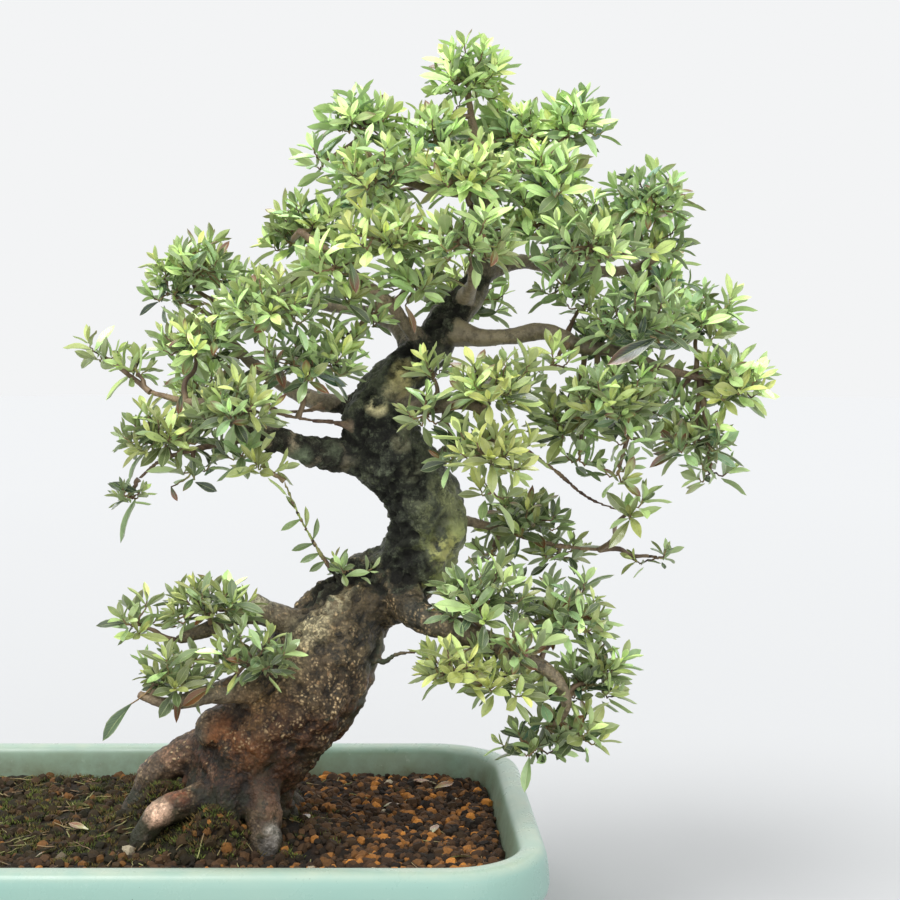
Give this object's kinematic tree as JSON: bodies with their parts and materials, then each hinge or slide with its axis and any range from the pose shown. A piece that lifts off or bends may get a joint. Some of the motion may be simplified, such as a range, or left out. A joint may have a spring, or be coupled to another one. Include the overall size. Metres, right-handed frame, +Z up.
{
  "type": "satsuki azalea bonsai in pot",
  "caption": "Potted azalea bonsai: an S-curved trunk with spreading roots and layered leafy branches, in a shallow glazed rectangular pot.",
  "frame": {"origin": "on the ground under the middle of the whole object's box: the pot stands on z = 0", "axes": "+X along the pot's length, towards the side that the tree leans over; +Y from the front to the back; +Z up"},
  "size_m": [0.5992, 0.286, 0.5652],
  "materials": {
    "glaze": "pale celadon glaze, satin gloss",
    "mesh_plastic": "dull black",
    "akadama": "rough fired-clay granules",
    "bark": "rough lumpy bark",
    "leaf": "satin leaf green"
  },
  "bodies": {
    "root": {"pot": "glaze", "drainage_mesh_left": "mesh_plastic", "drainage_mesh_right": "mesh_plastic", "soil": "akadama", "trunk": "bark", "spray_apex": "leaf", "spray_apex_left": "leaf", "spray_apex_right": "leaf", "spray_crown_front": "leaf", "spray_crown_back": "leaf", "spray_top_left": "leaf", "spray_top_left_inner": "leaf", "spray_top_left_back": "leaf", "spray_top_right": "leaf", "spray_top_right_inner": "leaf", "spray_top_right_back": "leaf", "spray_shoulder_left": "leaf", "spray_shoulder_left_front": "leaf", "spray_centre_front": "leaf", "spray_shoulder_right": "leaf", "spray_shoulder_right_front": "leaf", "spray_left_top": "leaf", "spray_left_inner": "leaf", "spray_left_back": "leaf", "spray_left_mid": "leaf", "spray_left_tip": "leaf", "spray_left_low": "leaf", "spray_left_low_front": "leaf", "spray_left_low_back": "leaf", "spray_left_droop": "leaf", "spray_left_hang": "leaf", "spray_right_top": "leaf", "spray_right_tip": "leaf", "spray_right_inner": "leaf", "spray_right_back": "leaf", "spray_right_mid": "leaf", "spray_right_low": "leaf", "spray_right_low_back": "leaf", "spray_right_hang": "leaf", "spray_centre_right": "leaf", "spray_centre_right_low": "leaf", "spray_back_centre": "leaf", "spray_mid_right_back": "leaf", "spray_mid_right_tip": "leaf", "spray_low_right_upper": "leaf", "spray_low_right_outer": "leaf", "spray_low_right_inner": "leaf", "spray_low_right_lower": "leaf", "spray_low_right_end": "leaf", "spray_low_left_upper": "leaf", "spray_low_left_inner": "leaf", "spray_low_left_outer": "leaf", "spray_low_left_end": "leaf", "spray_mid_shoot": "leaf"}
  },
  "joints": []
}
